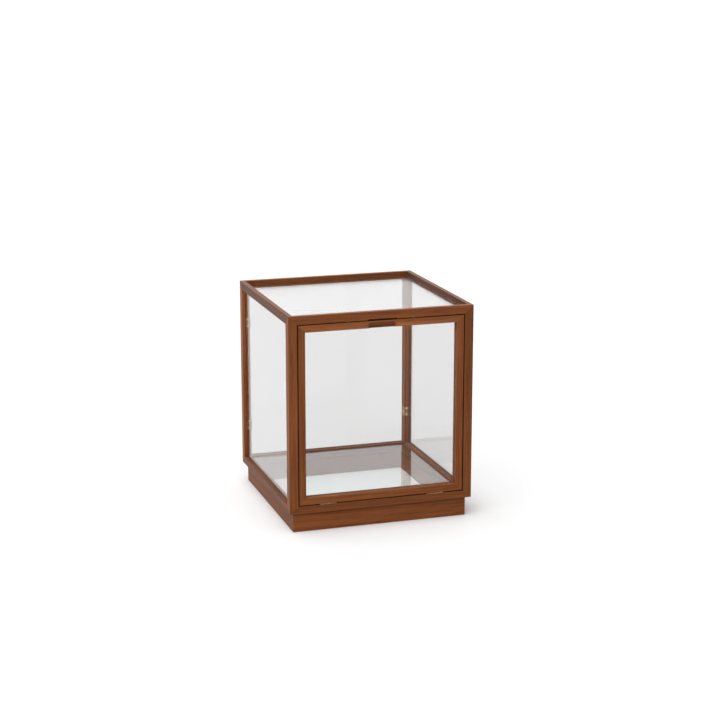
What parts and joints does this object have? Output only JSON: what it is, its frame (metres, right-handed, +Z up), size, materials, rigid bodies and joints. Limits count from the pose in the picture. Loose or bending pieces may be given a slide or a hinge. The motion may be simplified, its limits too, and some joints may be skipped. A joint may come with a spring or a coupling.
{
  "type": "display cabinet",
  "caption": "Square tabletop display cabinet with a wooden frame, glass on every side, top and floor, and a glazed door that drops forward on hinges along its lower edge.",
  "frame": {"origin": "middle of the cabinet's square footprint, on the surface that it stands on", "axes": "+Z up, the door faces -Y, +X to the right of someone who faces the door"},
  "size_m": [0.4, 0.4016, 0.46],
  "materials": {
    "frame_wood": "reddish-brown hardwood with a thin satin oil finish, grain along each member",
    "dowel_wood": "bare pale hardwood",
    "clear_glass": "clear float glass with ground edges",
    "brass_hardware": "satin brass, slightly dulled",
    "magnet_metal": "bright nickel plating"
  },
  "bodies": {
    "cabinet": {"plinth_front": "frame_wood", "plinth_rear": "frame_wood", "plinth_left": "frame_wood", "plinth_right": "frame_wood", "post_front_left": "frame_wood", "post_front_right": "frame_wood", "post_rear_left": "frame_wood", "post_rear_right": "frame_wood", "top_rail_front": "frame_wood", "top_rail_rear": "frame_wood", "top_rail_left": "frame_wood", "top_rail_right": "frame_wood", "bottom_rail_front": "frame_wood", "bottom_rail_rear": "frame_wood", "bottom_rail_left": "frame_wood", "bottom_rail_right": "frame_wood", "floor_ledge_front": "frame_wood", "floor_ledge_rear": "frame_wood", "floor_ledge_left": "frame_wood", "floor_ledge_right": "frame_wood", "door_stop_left": "frame_wood", "door_stop_right": "frame_wood", "plinth_dowels": "dowel_wood", "floor_glass": "clear_glass", "top_glass": "clear_glass", "side_glass_left": "clear_glass", "side_glass_right": "clear_glass", "rear_glass": "clear_glass", "pane_clip_left_upper": "brass_hardware", "pane_clip_left_lower": "brass_hardware", "pane_clip_right_upper": "brass_hardware", "pane_clip_right_lower": "brass_hardware", "pane_clip_screws": "brass_hardware", "hinge_frame_leaf_left": "brass_hardware", "hinge_frame_leaf_right": "brass_hardware", "hinge_pin_left": "brass_hardware", "hinge_pin_right": "brass_hardware", "hinge_screws_frame": "brass_hardware", "catch_magnets_frame": "magnet_metal"},
    "door": {"door_stile_left": "frame_wood", "door_stile_right": "frame_wood", "door_rail_top": "frame_wood", "door_rail_bottom": "frame_wood", "door_bead_top": "frame_wood", "door_bead_bottom": "frame_wood", "door_bead_left": "frame_wood", "door_bead_right": "frame_wood", "door_glass": "clear_glass", "hinge_door_leaf_left": "brass_hardware", "hinge_door_leaf_right": "brass_hardware", "hinge_screws_door": "brass_hardware", "catch_magnets_door": "magnet_metal"}
  },
  "joints": [
    {"name": "door_flap", "type": "hinge", "parent": "cabinet", "child": "door", "pos_m": [0, -0.2, 0.059], "axis": [1, 0, 0], "range_deg": [0, 98]}
  ]
}
